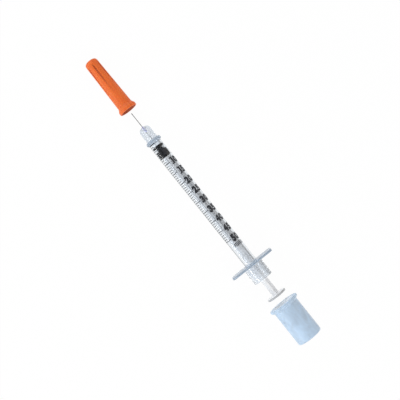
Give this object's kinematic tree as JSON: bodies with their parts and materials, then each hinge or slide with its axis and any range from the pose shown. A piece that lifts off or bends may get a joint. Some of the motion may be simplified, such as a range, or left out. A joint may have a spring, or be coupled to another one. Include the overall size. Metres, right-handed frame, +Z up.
{
  "type": "insulin syringe",
  "caption": "Small insulin syringe with a fixed fine needle, graduated clear barrel, rubber stopper, plunger, needle shield and plunger cap, both covers off.",
  "frame": {"origin": "centre of the bottom of the bounding box, on the surface that the syringe lies on", "axes": "+X along the syringe towards the plunger cap, +Y across the finger flange, +Z up, with the scale on top; the syringe's own axis rises towards the cap by 1.47 degrees, because it lies on the rims of its two covers"},
  "size_m": [0.1518, 0.0208, 0.0139],
  "materials": {
    "clear_plastic": "gloss",
    "needle_steel": "polished",
    "adhesive": "gloss",
    "stopper_rubber": "satin",
    "white_plastic": "satin",
    "blue_plastic": "satin",
    "orange_plastic": "satin"
  },
  "bodies": {
    "barrel": {"barrel": "clear_plastic", "cannula": "needle_steel", "needle_adhesive": "adhesive"},
    "plunger": {"plunger_rod": "white_plastic", "stopper": "stopper_rubber"},
    "plunger_cap": {"plunger_cap": "blue_plastic"},
    "needle_shield": {"needle_shield": "orange_plastic"}
  },
  "joints": [
    {"name": "plunger_slide", "type": "slide", "parent": "barrel", "child": "plunger", "axis": [0.9997, 0, 0.0256], "range_m": [-0.00143, 0.05114]},
    {"name": "plunger_cap_pull", "type": "slide", "parent": "plunger", "child": "plunger_cap", "axis": [-0.9997, 0, -0.0256], "range_m": [0, 0.0191]},
    {"name": "needle_shield_pull", "type": "slide", "parent": "barrel", "child": "needle_shield", "axis": [0.9997, 0, 0.0256], "range_m": [0, 0.0162]}
  ]
}
